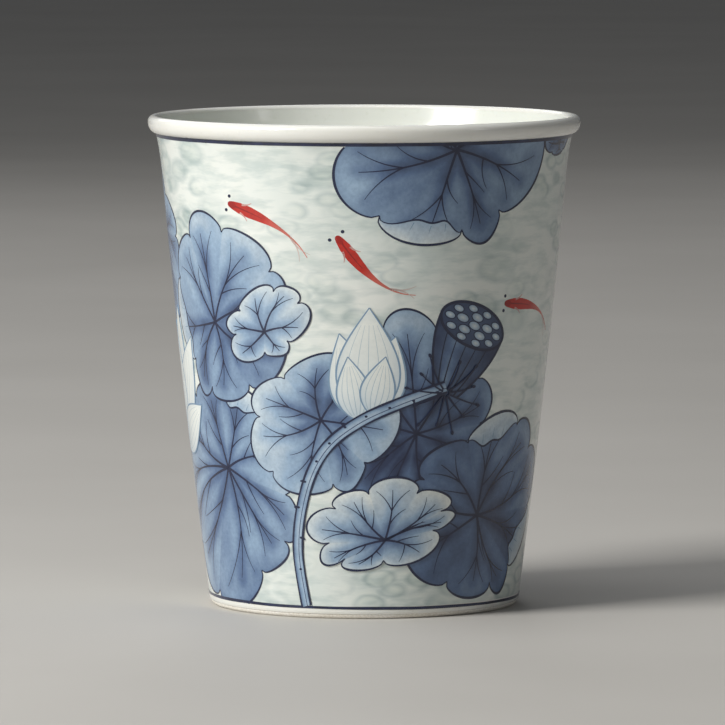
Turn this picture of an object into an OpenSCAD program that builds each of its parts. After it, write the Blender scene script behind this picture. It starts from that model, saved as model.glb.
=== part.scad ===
// Handle-less porcelain teacup: one clay body, its glaze and the colour films painted on it.
// The cup stands on z = 0 with its axis on Z, and its front faces -Y.

/* [Cup] */
// Height from the table to the top of the lip
cup_h = 86; // [70:0.5:105]
// Outer diameter of the lip, the widest place
rim_d = 76; // [64:0.5:92]
// Outer diameter of the wall where it meets the table
foot_d = 54.2; // [45:0.2:60]
// Thickness of the wall, glaze included
wall_t = 2.2; // [1.8:0.1:3]
// How far the wall bows out of a straight cone, halfway up
bow = 0.43; // [0:0.01:1.5]
// How far the wall turns out below the lip
flare = 0.45; // [0:0.05:1]
// Height of the stretch that turns out
flare_h = 6.5; // [3:0.5:10]

/* [Lip] */
// Height of the rolled lip
lip_h = 3.05; // [2.5:0.05:4.5]
// How far the lip stands out from the wall
lip_out = 1.4; // [0.8:0.1:2.2]
// Distance from the lip's outermost edge to its top
lip_crown = 1.05; // [0.8:0.05:1.3]
// Thickness of the lip at its widest
lip_t = 1.9; // [1.8:0.1:2.2]
// Height of the wall that thins towards the lip on the inside
thin_h = 12; // [6:0.5:20]

/* [Foot and floor] */
// Width of the foot ring
foot_w = 3; // [2.4:0.1:5]
// Height of the hollow inside the foot ring
foot_h = 2; // [1.2:0.1:3]
// Rounding of the foot ring's outer edge, left without glaze
foot_round = 0.8; // [0.4:0.1:1.2]
// Thickness of the floor, glaze included
floor_t = 3.5; // [2.5:0.1:6]
// Rounding between the floor and the wall on the inside
bowl_round = 10; // [4:0.5:16]

/* [Glaze and paint] */
// Thickness of the glaze
glaze_t = 0.25; // [0.2:0.05:0.4]
// Thickness of a colour film
paint_t = 0.08; // [0.06:0.01:0.15]
// Width of the painted line below the lip
rim_line_w = 0.6; // [0.3:0.05:1.2]
// Width of the painted line above the foot
foot_line_w = 0.5; // [0.3:0.05:1.2]
// Height of the glazed band below the foot line
foot_band_h = 0.85; // [0.4:0.05:2]
// Width of the lotus stem
stem_w = 1.9; // [1:0.1:3]
// Length of a fish without its tail
fish_len = 9; // [6:0.5:14]
// Thickest place of a fish
fish_w = 2; // [1:0.1:3]

/* [Hidden] */
$fn = 96;

// Fine and coarse steps along a rounded stretch of the cup's profile
round_steps = 5;
wall_steps = 6;
// Steps along each lobe of a leaf and along each side of a petal
lobe_steps = 6;
petal_steps = 8;
// Steps between two points of a painted path
path_steps = 4;

// Levels, from the table up
glaze_low = foot_round;
foot_line_low = glaze_low + foot_band_h;
foot_line_top = foot_line_low + foot_line_w;
neck_z = cup_h - lip_h;
rim_line_low = neck_z - rim_line_w;
lip_wide_z = cup_h - lip_crown;
floor_z = foot_h + floor_t;
bowl_z = floor_z + bowl_round;

// Radii
foot_r = foot_d / 2;
rim_r = rim_d / 2;
neck_r = rim_r - lip_out;
crown_r = rim_r - lip_crown;
lip_in_r = rim_r - lip_t;
lip_in_z = cup_h - lip_crown * 0.7;
hollow_r = foot_r - foot_w;

// The painting is laid out for this band of wall, and stretches with the band between the two lines
art_low = 2.15;
art_top = 82.35;
stretch = (rim_line_low - foot_line_top) / (art_top - art_low);
// Millimetres along the wall for a degree round the cup, where the painting is widest
deg_mm = 0.56;

// Places in the painting are degrees round the cup from its front, towards +X, and millimetres up.
// Lotus leaves: the leaf's middle, its half-width and half-height in millimetres, its tilt in degrees,
// its number of lobes, the depth of the notches between them and a phase that sets its own unevenness
HANGING = [[26, 82], [18.5, 18], 0, 8, 0.16, 40];
HANGING_SMALL = [[69, 84], [5.5, 4.5], 0, 6, 0.15, 10];
FAR_LEFT = [[-92, 64], [12.5, 14], 10, 8, 0.14, 200];
TALL = [[-49, 53.5], [14, 17.5], -12, 8, 0.15, 120];
TALL_CURL = [[-31, 51.5], [8.5, 6.6], 25, 6, 0.24, 60];
WIDE = [[-57, 21], [21.5, 18.5], 8, 10, 0.13, 300];
MIDDLE = [[-14.5, 34], [13.5, 13], 20, 7, 0.15, 80];
BEHIND_POD = [[16, 34.5], [15.5, 19.5], -8, 9, 0.13, 150];
BROAD = [[47, 19], [18.5, 17], -6, 9, 0.15, 20];
YOUNG = [[6, 16.5], [15.5, 7.5], 14, 8, 0.24, 230];
BACK_LOW = [[155, 17.5], [19, 15], 5, 9, 0.14, 90];
BACK_TALL = [[-152, 42], [11, 13.5], 12, 8, 0.15, 270];
BACK_HANGING = [[-162, 84], [15, 14], 0, 7, 0.16, 330];

// Petals: base, tip, and width in millimetres, from the back of the flower to its front
FLOWER = [[[-88, 30], [-97, 52], 10], [[-87, 30], [-79, 53], 10], [[-89, 29], [-110, 45], 9],
    [[-86, 29], [-67, 48], 9.5], [[-88, 29], [-88, 50], 11], [[-86, 28], [-64, 36], 8]];
BUD = [[[-1, 35], [-7.5, 50], 8], [[3, 36], [9.5, 49.5], 8], [[1, 35], [1.5, 54.5], 11],
    [[-2, 35], [-5, 46], 6], [[2.5, 35.8], [6.5, 46], 6]];
BACK_BUD = [[[117, 34], [111, 46.5], 7], [[117, 34], [123.5, 47], 7], [[117, 34], [117.5, 51], 9]];

// Stems, as the points that they run through
STEM = [[26, 40.5], [12, 38], [-2, 34.5], [-13, 29.5], [-20, 22], [-23.5, 12], [-21, 1]];
BACK_STEM = [[117, 35], [119, 27], [117, 18], [113, 9], [114, 1]];

// Seed pod: where its cone starts, its tilt, its widths, its length and the rise of its seed disc
pod_at = [26, 39.5];
pod_tilt = -24;
pod_base_w = 5;
pod_top_w = 14;
pod_len = 12.5;
pod_disc_h = 3.6;

// Stamens: how far they spread to either side of straight down, their number, length, width and bend
stamen_spread = 140;
stamen_count = 12;
stamen_len = 6.5;
stamen_w = 0.35;
stamen_bend = 14;

// Fish: head, the way it points in degrees above +X, and how far its body bends
FISH = [[[-41.5, 72], 161, -50], [[-7.7, 66.7], 125, 62], [[47, 54.5], 176, -60],
    [[128, 66], 20, -45], [[-118, 63], -5, 30]];
// Widths along a fish as shares of its thickest place, from its head to the end of its tail
FISH_SHAPE = [0.45, 0.9, 1, 0.8, 0.55, 0.35, 0.25, 0.15, 0.1];
tail_len = 8;
eye_r = 0.3;
eye_out = 1.7;

// Tones of the painting
clay = [0.96, 0.95, 0.92];
ground = [0.92, 0.94, 0.90];
pale = [0.80, 0.86, 0.90];
sky = [0.62, 0.72, 0.82];
slate = [0.38, 0.46, 0.58];
ink = [0.16, 0.20, 0.32];
cobalt = [0.14, 0.16, 0.26];
vermilion = [0.80, 0.22, 0.17];

// Radius of the outer wall at a height
function wall_r(z) = let (t = z / neck_z, s = max(0, (z - neck_z + flare_h) / flare_h))
    foot_r + (neck_r - flare - foot_r) * t + 4 * bow * t * (1 - t) + flare * s * s;

// Radius of the inner wall at a height
function inside_r(z) = let (s = max(0, (z - lip_in_z + thin_h) / thin_h))
    wall_r(min(z, neck_z)) - wall_t + (lip_in_r - neck_r + wall_t) * s * s;

// Evenly spaced heights from one level to another, both included
function levels(low, top, steps) = [for (i = [0:steps]) low + (top - low) * i / steps];

// Part of an ellipse with half-axes a and b
function arc(x, z, a, b, from, to, steps) =
    [for (t = levels(from, to, steps)) [x + a * cos(t), z + b * sin(t)]];

// Heights at which the painted band of the wall changes slope, its flare included
band_levels = concat(levels(foot_line_top, neck_z - flare_h, wall_steps),
    levels(neck_z - flare_h + flare_h / 3, rim_line_low, 2));

// Stretches of the outer surface from the table up, drawn d inside it
function foot_side(d) = [for (z = [glaze_low, foot_line_low]) [wall_r(z) - d, z]];
function foot_line_side(d) = [for (z = [foot_line_low, foot_line_top]) [wall_r(z) - d, z]];
function wall_side(d) = [for (z = band_levels) [wall_r(z) - d, z]];
function rim_line_side(d) = [for (z = [rim_line_low, neck_z]) [wall_r(z) - d, z]];

// The lip from the neck over its crown to the inside, drawn d inside it
function lip_side(d) = concat(
    [[neck_r - d, neck_z]],
    arc(neck_r, lip_wide_z, lip_out - d, lip_wide_z - neck_z - d, -75, 0, round_steps),
    arc(crown_r, lip_wide_z, lip_crown - d, lip_crown - d, 15, 90, round_steps),
    arc(crown_r, lip_in_z, crown_r - lip_in_r - d, cup_h - lip_in_z - d, 108, 180, 4));

// The inside from just below the lip down the wall and over the rounding to the axis, drawn d inside it
function inside_side(d) = concat(
    [for (z = [for (t = levels(0, 1, 3)) lip_in_z - thin_h * t]) [inside_r(z) + d, z]],
    [for (z = levels(lip_in_z - thin_h, bowl_z, 5)) if (z < lip_in_z - thin_h - 1) [inside_r(z) + d, z]],
    arc(inside_r(bowl_z) - bowl_round, bowl_z, bowl_round + d, bowl_round + d, -15, -90, round_steps),
    [[0, floor_z - d]]);

// The hollow below the base from the axis out, drawn d inside the clay
hollow_round = foot_h / 2;
function hollow_side(d) = concat(
    [[0, foot_h + d]],
    arc(hollow_r - hollow_round, foot_h - hollow_round, hollow_round + d, hollow_round + d, 90, 0, 3),
    [[hollow_r + d, foot_round / 2]]);

function reversed(list) = [for (i = [len(list) - 1:-1:0]) list[i]];

// A skin between a stretch of surface and the same stretch one thickness deeper
module skin(outer, inner) rotate_extrude($fn = 180) polygon(concat(outer, reversed(inner)));

module porcelain_body() {
    toe = foot_r - glaze_t - foot_round;
    heel = hollow_r + glaze_t;
    color(clay) rotate_extrude($fn = 180) polygon(concat(
        hollow_side(glaze_t),
        [[heel + foot_round / 2, 0]],
        arc(toe, foot_round, wall_r(glaze_low) - glaze_t - toe, foot_round, -90, -18, 4),
        foot_side(glaze_t), foot_line_side(glaze_t), wall_side(glaze_t), rim_line_side(glaze_t),
        lip_side(glaze_t), inside_side(glaze_t)));
}

module inside_glaze() color(clay) skin(inside_side(0), inside_side(glaze_t));
module lip_glaze() color(clay) skin(lip_side(0), lip_side(glaze_t));
module wall_glaze() color(ground) skin(wall_side(0), wall_side(glaze_t));
module foot_glaze() color(clay) skin(foot_side(0), foot_side(glaze_t));
module base_glaze() color(clay) skin(hollow_side(0), hollow_side(glaze_t));
module rim_line() color(cobalt) skin(rim_line_side(0), rim_line_side(glaze_t));
module foot_line() color(cobalt) skin(foot_line_side(0), foot_line_side(glaze_t));

// A painted place in millimetres along the wall and up it
function flat(p) = [p[0] * deg_mm, p[1]];

function turned(p, angle) = [p[0] * cos(angle) - p[1] * sin(angle), p[0] * sin(angle) + p[1] * cos(angle)];

// The edge of a lotus leaf: a slightly uneven ellipse with round lobes and sharp notches
function leaf_edge(leaf) = let (half = leaf[1], lobes = leaf[3], notch = leaf[4], phase = leaf[5])
    [for (i = [0:lobes * lobe_steps - 1]) let (
            u = (i % lobe_steps) / lobe_steps,
            a = 360 * i / lobes / lobe_steps,
            swing = a + 8 * sin(3 * a + phase),
            uneven = 1 + 0.07 * sin(2 * a + phase) + 0.05 * sin(5 * a + 2 * phase),
            r = (1 - notch * (1 - sqrt(sin(180 * u)))) * uneven)
        flat(leaf[0]) + turned([half[0] * r * cos(swing), half[1] * r * sin(swing)], leaf[2])];

// The edge of a petal: round at its base, widest below the middle and pointed at its tip
function petal_edge(petal) = let (
        base = flat(petal[0]), run = flat(petal[1]) - base,
        side = [-run[1], run[0]] / norm(run) * petal[2] / 2,
        shape = [for (t = levels(0, 1, petal_steps)) [t, sin(180 * pow(t, 0.75))]])
    concat([for (s = shape) base + run * s[0] + side * s[1]],
        [for (s = reversed([for (i = [1:petal_steps - 1]) shape[i]])) base + run * s[0] - side * s[1]]);

// The edge of the seed pod: a flared cone with a domed disc of seeds
function pod_edge() = let (
        grow = (pod_top_w - pod_base_w) / 2,
        widths = [for (t = levels(0, 1, petal_steps)) [pod_base_w / 2 + grow * sin(90 * t), t]],
        right = [for (w = widths) [w[0], pod_len * w[1]]],
        left = [for (w = reversed(widths)) [-w[0], pod_len * w[1]]],
        dome = [for (a = levels(15, 165, petal_steps))
            [pod_top_w / 2 * cos(a), pod_len + pod_disc_h * sin(a)]])
    [for (p = concat(right, dome, left)) flat(pod_at) + turned(p, pod_tilt)];

// A path made smooth through its points
function smooth(path) = let (n = len(path), p = [for (q = path) flat(q)])
    concat([for (i = [0:n - 2]) let (
                before = p[max(i - 1, 0)], a = p[i], b = p[i + 1], after = p[min(i + 2, n - 1)])
        for (k = [0:path_steps - 1]) let (t = k / path_steps)
            (2 * a + t * (b - before) + t * t * (2 * before - 5 * a + 4 * b - after)
                + t * t * t * (3 * a - before - 3 * b + after)) / 2], [p[n - 1]]);

// The edge of a brush stroke along a path, with a width for each of its points
function stroke(path, widths) = let (
        last = len(path) - 1,
        sides = [for (i = [0:last]) let (d = path[min(i + 1, last)] - path[max(i - 1, 0)])
            [-d[1], d[0]] / norm(d) * widths[i] / 2])
    concat([for (i = [0:last]) path[i] + sides[i]], [for (i = [last:-1:0]) path[i] - sides[i]]);

function even(path, width) = stroke(path, [for (p = path) width]);

// The path of a fish from its head to the end of its tail, bending more and more
function fish_path(fish) = let (
        steps = len(FISH_SHAPE) - 1, step = (fish_len + tail_len) / steps,
        turns = [for (i = [0:steps]) fish[1] + 180 + fish[2] * pow(i / steps, 2)])
    [for (i = [0:steps]) flat(fish[0])
        + step * [for (k = [0, 1]) sum([for (j = [0:1:i - 1]) k == 0 ? cos(turns[j]) : sin(turns[j])])]];

function sum(list, i = 0) = i < len(list) ? list[i] + sum(list, i + 1) : 0;

function eye_places(fish) = [for (side = [-1, 1])
    flat(fish[0]) + turned([0.3, side * eye_out], fish[1])];

// The path of one stamen, which curls away from straight down
function stamen_path(k) = let (
        share = 2 * k / (stamen_count - 1) - 1,
        angle = -90 + stamen_spread * share,
        length = stamen_len * (1 + 0.12 * cos(180 * k)))
    [for (t = levels(0.15, 1, 4)) flat(pod_at) + length * t * [cos(angle + stamen_bend * share * t),
        sin(angle + stamen_bend * share * t)]];

// A block that stands on an outline and reaches in past the wall, so that it cuts the outline into it
module block(outline) {
    around = [for (p = outline) p[0] / deg_mm];
    middle = (min(around) + max(around)) / 2;
    rotate([0, 0, middle]) rotate([90, 0, 0]) linear_extrude(rim_d)
        polygon([for (p = outline) let (z = foot_line_top + (p[1] - art_low) * stretch)
            [wall_r(z) * sin(p[0] / deg_mm - middle), z]]);
}

// A colour film: the first child is its shape and the others are what lies over it
module film(tone) color(tone) difference() {
    intersection() {
        skin([for (z = band_levels) [wall_r(z) + paint_t, z]], wall_side(0));
        children(0);
    }
    children([1:1:$children - 1]);
}

module leaf_block(leaf) block(leaf_edge(leaf));
module petals_block(petals) for (petal = petals) block(petal_edge(petal));
module stem_block(path) block(even(smooth(path), stem_w));
module pod_block() block(pod_edge());
module stamens_block() for (k = [0:stamen_count - 1]) block(even(stamen_path(k), stamen_w));

module leaf_hanging() film(sky) leaf_block(HANGING);
module leaf_hanging_small() film(sky) { leaf_block(HANGING_SMALL); leaf_block(HANGING); }
module leaf_far_left() film(sky) { leaf_block(FAR_LEFT); leaf_block(TALL); petals_block(FLOWER); }
module leaf_tall() film(sky) {
    leaf_block(TALL);
    leaf_block(TALL_CURL);
    leaf_block(MIDDLE);
    petals_block(FLOWER);
}
module leaf_tall_curl() film(pale) leaf_block(TALL_CURL);
module lotus_flower() film(ground) petals_block(FLOWER);
module leaf_wide() film(sky) {
    leaf_block(WIDE);
    leaf_block(TALL);
    petals_block(FLOWER);
    leaf_block(MIDDLE);
    stem_block(STEM);
    leaf_block(YOUNG);
}
module leaf_middle() film(pale) {
    leaf_block(MIDDLE);
    leaf_block(TALL_CURL);
    petals_block(BUD);
    stem_block(STEM);
    leaf_block(YOUNG);
}
module leaf_behind_pod() film(slate) {
    leaf_block(BEHIND_POD);
    leaf_block(MIDDLE);
    leaf_block(BROAD);
    petals_block(BUD);
    pod_block();
    stem_block(STEM);
    stamens_block();
    leaf_block(YOUNG);
}
module leaf_broad() film(ink) { leaf_block(BROAD); leaf_block(YOUNG); stamens_block(); }
module leaf_young() film(pale) leaf_block(YOUNG);
module lotus_bud() film(ground) { petals_block(BUD); stem_block(STEM); stamens_block(); }
module lotus_stem() film(pale) { stem_block(STEM); leaf_block(YOUNG); stamens_block(); }
module seed_pod() film(slate) { pod_block(); stem_block(STEM); stamens_block(); }
module pod_stamens() film(cobalt) stamens_block();
module red_fish() film(vermilion) for (fish = FISH) block(stroke(fish_path(fish), fish_w * FISH_SHAPE));
module fish_eyes() film(cobalt) for (fish = FISH, eye = eye_places(fish))
    block([for (a = [0:30:330]) eye + eye_r * [cos(a), sin(a)]]);
module leaf_back_low() film(sky) { leaf_block(BACK_LOW); stem_block(BACK_STEM); }
module leaf_back_tall() film(sky) leaf_block(BACK_TALL);
module leaf_back_hanging() film(sky) leaf_block(BACK_HANGING);
module back_bud() film(ground) petals_block(BACK_BUD);
module back_stem() film(pale) { stem_block(BACK_STEM); petals_block(BACK_BUD); }

porcelain_body();
inside_glaze();
lip_glaze();
wall_glaze();
foot_glaze();
base_glaze();
rim_line();
foot_line();
leaf_hanging();
leaf_hanging_small();
leaf_far_left();
leaf_tall();
leaf_tall_curl();
lotus_flower();
leaf_wide();
leaf_middle();
leaf_behind_pod();
leaf_broad();
leaf_young();
lotus_bud();
lotus_stem();
seed_pod();
pod_stamens();
red_fish();
fish_eyes();
leaf_back_low();
leaf_back_tall();
leaf_back_hanging();
back_bud();
back_stem();
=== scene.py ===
import math

import bmesh
import bpy
import numpy as np
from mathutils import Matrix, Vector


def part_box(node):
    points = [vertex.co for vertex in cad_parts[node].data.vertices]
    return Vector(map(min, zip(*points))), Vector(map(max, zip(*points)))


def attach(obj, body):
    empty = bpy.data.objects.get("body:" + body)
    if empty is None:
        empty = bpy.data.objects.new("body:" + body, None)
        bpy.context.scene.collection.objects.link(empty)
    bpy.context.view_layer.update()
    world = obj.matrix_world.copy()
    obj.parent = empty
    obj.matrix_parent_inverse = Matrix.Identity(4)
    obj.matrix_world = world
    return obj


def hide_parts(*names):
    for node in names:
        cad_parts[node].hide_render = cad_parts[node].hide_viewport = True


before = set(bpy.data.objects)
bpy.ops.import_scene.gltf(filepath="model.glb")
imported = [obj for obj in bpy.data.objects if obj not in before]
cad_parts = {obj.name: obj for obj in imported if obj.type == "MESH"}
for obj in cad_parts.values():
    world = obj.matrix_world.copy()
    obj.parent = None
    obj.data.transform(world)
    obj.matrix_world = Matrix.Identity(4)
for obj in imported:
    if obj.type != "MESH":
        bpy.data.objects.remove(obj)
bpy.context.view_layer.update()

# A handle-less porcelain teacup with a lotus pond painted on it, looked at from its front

MM = 0.001


# ---------------------------------------------------------------- sizes, in millimetres and degrees

def box_mm(node):
    """A CAD node's lowest and highest corners in millimetres."""
    low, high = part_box(node)
    return np.array(low) / MM, np.array(high) / MM


CUP_H = box_mm("lip_glaze")[1][2]
RIM_R = box_mm("lip_glaze")[1][0]
NECK_Z = box_mm("rim_line")[1][2]
NECK_R = box_mm("rim_line")[1][0]
RIM_LINE_LOW = box_mm("rim_line")[0][2]
FOOT_LINE_LOW = box_mm("foot_line")[0][2]
FOOT_LINE_TOP = box_mm("foot_line")[1][2]
GLAZE_LOW = box_mm("foot_glaze")[0][2]
FLOOR_Z = box_mm("inside_glaze")[0][2]
FOOT_HOLLOW = box_mm("base_glaze")[1][2]
HOLLOW_R = box_mm("base_glaze")[1][0]

# The wall: its radius at the foot, its thickness, how far it bows out half way up, and how far and over what
# height it flares below the neck
FOOT_R = 27.1
WALL_T = 2.2
BOW = 0.43
FLARE = 0.45
FLARE_H = 6.5
# The lip: the rounding of its crown, the height where that ends on the inside, its thickness, and the height
# over which the wall thins to it
LIP_CROWN = 1.05
LIP_IN_Z = CUP_H - LIP_CROWN * 0.7
LIP_T = 1.9
THIN_H = 12
# The round corner between wall and floor, and the glaze's thickness
BOWL_ROUND = 10
GLAZE_T = 0.25
# Edges that bend by more than this stay sharp
SHARP = 32
# Steps round a turned shape and round a painted line
TURN_STEPS = 288
LINE_STEPS = 360

# The painting is laid out in millimetres along the wall, this many for a degree round the cup
DEG_MM = 0.56
# How deep a film's back lies in the glaze, and how much further each film stands out than the one below it
BACK = -0.02
NEXT_LIFT = 0.005
# How far each motif's first film stands out from the glaze, more for one that lies over another
LIFT = {
    "leaf_far_left": 0.014, "leaf_behind_pod": 0.014, "leaf_back_low": 0.014, "leaf_back_tall": 0.014,
    "back_stem": 0.014, "red_fish": 0.014, "fish_eyes": 0.014,
    "leaf_hanging": 0.026, "leaf_hanging_small": 0.026, "leaf_back_hanging": 0.026,
    "leaf_wide": 0.038, "leaf_broad": 0.038, "seed_pod": 0.038, "back_bud": 0.038,
    "rim_line": 0.05, "foot_line": 0.05,
    "leaf_tall": 0.062,
    "leaf_middle": 0.086, "lotus_flower": 0.086,
    "leaf_tall_curl": 0.11, "lotus_bud": 0.11,
    "lotus_stem": 0.165,
    "leaf_young": 0.185,
    "pod_stamens": 0.21,
}
# Brushwork: the thinnest stroke, the steps along a short curve and between the points of a smooth path, and
# a dot's steps round and its rings, as shares of its size
THINNEST = 0.03
CURVE_STEPS = 20
SMOOTH_STEPS = 14
DOT_STEPS = 20
DOT_RINGS = (0.35, 0.7, 1)


def wall_r(z):
    """Radius of the outer wall at a height."""
    t = z / NECK_Z
    s = np.maximum(0, (z - NECK_Z + FLARE_H) / FLARE_H)
    return FOOT_R + (NECK_R - FLARE - FOOT_R) * t + 4 * BOW * t * (1 - t) + FLARE * s * s


def inside_r(z):
    """Radius of the inner wall at a height."""
    s = np.maximum(0, (z - LIP_IN_Z + THIN_H) / THIN_H)
    return wall_r(np.minimum(z, NECK_Z)) - WALL_T + (RIM_R - LIP_T - NECK_R + WALL_T) * s * s


# ---------------------------------------------------------------- meshes

def finish_piece(piece, material, node):
    """Shades a piece smooth between its sharp edges, hangs it under the root body and hides the CAD node
    whose place it takes.
    """
    mesh = piece.data
    work = bmesh.new()
    work.from_mesh(mesh)
    bmesh.ops.recalc_face_normals(work, faces=work.faces)
    for face in work.faces:
        face.smooth = True
    for edge in work.edges:
        edge.smooth = edge.calc_face_angle(0) < math.radians(SHARP)
    work.to_mesh(mesh)
    work.free()
    mesh.materials.append(material)
    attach(piece, "root")
    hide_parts(node)


def new_object(name, points, faces):
    """A mesh object from points in metres and the faces between them."""
    mesh = bpy.data.meshes.new(name)
    mesh.from_pydata([tuple(p) for p in points], [], faces)
    mesh.update()
    piece = bpy.data.objects.new(name, mesh)
    bpy.context.scene.collection.objects.link(piece)
    return piece


def lathe(name, outline):
    """Turns a closed outline of radius and height, in millimetres, round the cup's axis."""
    turn = np.arange(TURN_STEPS) * 2 * math.pi / TURN_STEPS
    rings = []
    for r, z in outline:
        rings.append(np.stack([r * np.sin(turn), -r * np.cos(turn), np.full(TURN_STEPS, z)], axis=1))
    points = np.concatenate(rings) * MM
    faces = []
    for i in range(len(outline)):
        here, there = i * TURN_STEPS, (i + 1) % len(outline) * TURN_STEPS
        for k in range(TURN_STEPS):
            n = (k + 1) % TURN_STEPS
            faces.append((here + k, here + n, there + n, there + k))
    return new_object(name, points, faces)


def arc(x, z, a, b, start, end, steps):
    """Part of an ellipse with half-axes a and b, in radius and height."""
    return [(x + a * math.cos(math.radians(t)), z + b * math.sin(math.radians(t)))
            for t in np.linspace(start, end, steps + 1)]


def on_wall(spots, lift):
    """Flat points of the painting, laid on the wall and lifted off it, in metres."""
    turn = np.radians(spots[..., 0] / DEG_MM)
    r = wall_r(spots[..., 1]) + lift
    return np.stack([r * np.sin(turn), -r * np.cos(turn), spots[..., 1]], axis=-1) * MM


class Painting:
    """Gathers the films of one painted motif, each a thin closed solid with a colour at every point."""

    def __init__(self, node):
        self.node = node
        self.points = []
        self.faces = []
        self.colours = []
        self.count = 0

    def film(self, grid, colours, above=0, wrap=False, centre=None):
        """A film over a grid of flat points, as the motif's first or so many above that.

        A wrapped grid closes round, over a centre if that is given, as its point and its colour.
        """
        rows, columns = grid.shape[:2]
        spots = grid.reshape(-1, 2)
        tint = np.broadcast_to(colours, grid.shape[:2] + (3,)).reshape(-1, 3)
        if centre is not None:
            spots = np.concatenate([spots, [centre[0]]])
            tint = np.concatenate([tint, [centre[1]]])
        size = len(spots)
        top, back = self.count, self.count + size
        lift = LIFT[self.node] + above * NEXT_LIFT
        self.points += [on_wall(spots, lift), on_wall(spots, BACK)]
        self.colours += [tint, tint]
        self.count += 2 * size
        across = columns if wrap else columns - 1

        def at(i, j):
            return i * columns + j % columns

        for i in range(rows - 1):
            for j in range(across):
                a, b, c, d = at(i, j), at(i, j + 1), at(i + 1, j + 1), at(i + 1, j)
                self.faces.append((top + a, top + b, top + c, top + d))
                self.faces.append((back + d, back + c, back + b, back + a))
        first = [at(0, j) for j in range(columns)]
        last = [at(rows - 1, j) for j in range(columns)]
        if not wrap:
            left = [at(i, 0) for i in range(rows)]
            right = [at(i, columns - 1) for i in range(rows)]
            loops = [last[:-1] + right[:0:-1] + first[:0:-1] + left[:-1]]
        elif centre is None:
            loops = [last, first[::-1]]
        else:
            loops = [last]
            for a, b in zip(first, first[1:] + first[:1]):
                self.faces.append((top + b, top + a, top + size - 1))
                self.faces.append((back + a, back + b, back + size - 1))
        for loop in loops:
            for a, b in zip(loop, loop[1:] + loop[:1]):
                self.faces.append((top + b, top + a, back + a, back + b))

    def stroke(self, path, widths, colour, above=1, columns=2):
        """A brush stroke along a path of flat points, with one width and colour or one for each point."""
        side = ways(path)[1]
        widths = np.maximum(np.broadcast_to(widths, len(path)), THINNEST)
        across = np.linspace(-0.5, 0.5, columns)
        grid = path[:, None] + side[:, None] * (widths[:, None] * across[None])[..., None]
        if colour.ndim == 2:
            colour = colour[:, None]
        self.film(grid, colour, above)

    def dot(self, at, half, colour, above=1, turn=0):
        """A small ellipse, whose colour is one, or one at its middle and one at its edge."""
        around = np.arange(DOT_STEPS) * 2 * math.pi / DOT_STEPS
        ring = turned(np.stack([half[0] * np.cos(around), half[1] * np.sin(around)], axis=1), turn)
        inner, outer = colour if isinstance(colour, tuple) else (colour, colour)
        grid = np.stack([at + ring * t for t in DOT_RINGS])
        tints = np.stack([inner + (outer - inner) * t for t in DOT_RINGS])
        self.film(grid, tints[:, None], above, wrap=True, centre=(at, inner))

    def done(self, material):
        """Makes the piece, in place of the CAD node's film."""
        piece = new_object(self.node + "_paint", np.concatenate(self.points), self.faces)
        tint = np.concatenate(self.colours)
        layer = piece.data.color_attributes.new("paint", "FLOAT_COLOR", "POINT")
        layer.data.foreach_set("color", np.concatenate([tint, np.ones((len(tint), 1))], axis=1).ravel())
        finish_piece(piece, material, self.node)


# ---------------------------------------------------------------- colours

def srgb(r, g, b):
    """A linear colour from 0 to 255 display values."""
    v = np.array([r, g, b]) / 255
    return np.where(v <= 0.04045, v / 12.92, ((v + 0.055) / 1.055) ** 2.4)


# The cobalt wash from bare ground to its darkest, in equal steps
WASH = np.stack([srgb(238, 242, 237), srgb(203, 217, 226), srgb(154, 180, 206), srgb(94, 119, 156),
                 srgb(44, 58, 92)])
INK = srgb(30, 39, 70)
SOFT_INK = srgb(58, 76, 116)
PALE_INK = srgb(128, 156, 182)
FAINT_INK = srgb(182, 200, 211)
GROUND = srgb(232, 238, 229)
RED = srgb(196, 40, 28)
PALE_RED = srgb(236, 168, 150)
BACK_RED = srgb(150, 22, 18)
HEAD_RED = srgb(170, 26, 20)


def wash(dark):
    """Colours of the wash for an array of darkness from 0 to 1."""
    dark = np.clip(dark, 0, 1) * (len(WASH) - 1)
    k = np.minimum(dark.astype(int), len(WASH) - 2)
    t = (dark - k)[..., None]
    return WASH[k] * (1 - t) + WASH[k + 1] * t


def tone(dark):
    """The wash's colour for one darkness."""
    return wash(np.array([dark]))[0]


# ---------------------------------------------------------------- shapes in the painting

def flat(place):
    """A place in degrees round the cup and millimetres up, as a flat point."""
    return np.array([place[0] * DEG_MM, place[1]], dtype=float)


def turned(p, angle):
    """Flat points turned about the origin."""
    c, s = math.cos(math.radians(angle)), math.sin(math.radians(angle))
    p = np.asarray(p, dtype=float)
    return np.stack([p[..., 0] * c - p[..., 1] * s, p[..., 0] * s + p[..., 1] * c], axis=-1)


def ways(path):
    """The way that a path runs at each of its points, and the way to the left of it."""
    run = np.gradient(path, axis=0)
    run /= np.maximum(np.linalg.norm(run, axis=1, keepdims=True), 1e-9)
    return run, np.stack([-run[:, 1], run[:, 0]], axis=1)


def smooth(p, steps):
    """A smooth path through flat points, with so many steps from one to the next."""
    out = []
    last = len(p) - 1
    for i in range(last):
        before, a, b, after = p[max(i - 1, 0)], p[i], p[i + 1], p[min(i + 2, last)]
        for t in np.arange(steps) / steps:
            out.append((2 * a + t * (b - before) + t * t * (2 * before - 5 * a + 4 * b - after)
                        + t ** 3 * (3 * a - before - 3 * b + after)) / 2)
    return np.array(out + [p[-1]])


def curve(start, end, bend, steps=CURVE_STEPS):
    """A curve between two flat points that bends to its left by a share of its length."""
    run = end - start
    t = np.linspace(0, 1, steps)[:, None]
    return start + run * t + np.array([-run[1], run[0]]) * bend * 4 * t * (1 - t)


def taper(line, ends, count):
    """Widths along a stroke, from one share of a line's width to another."""
    return np.linspace(line * ends[0], line * ends[1], count)


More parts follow.
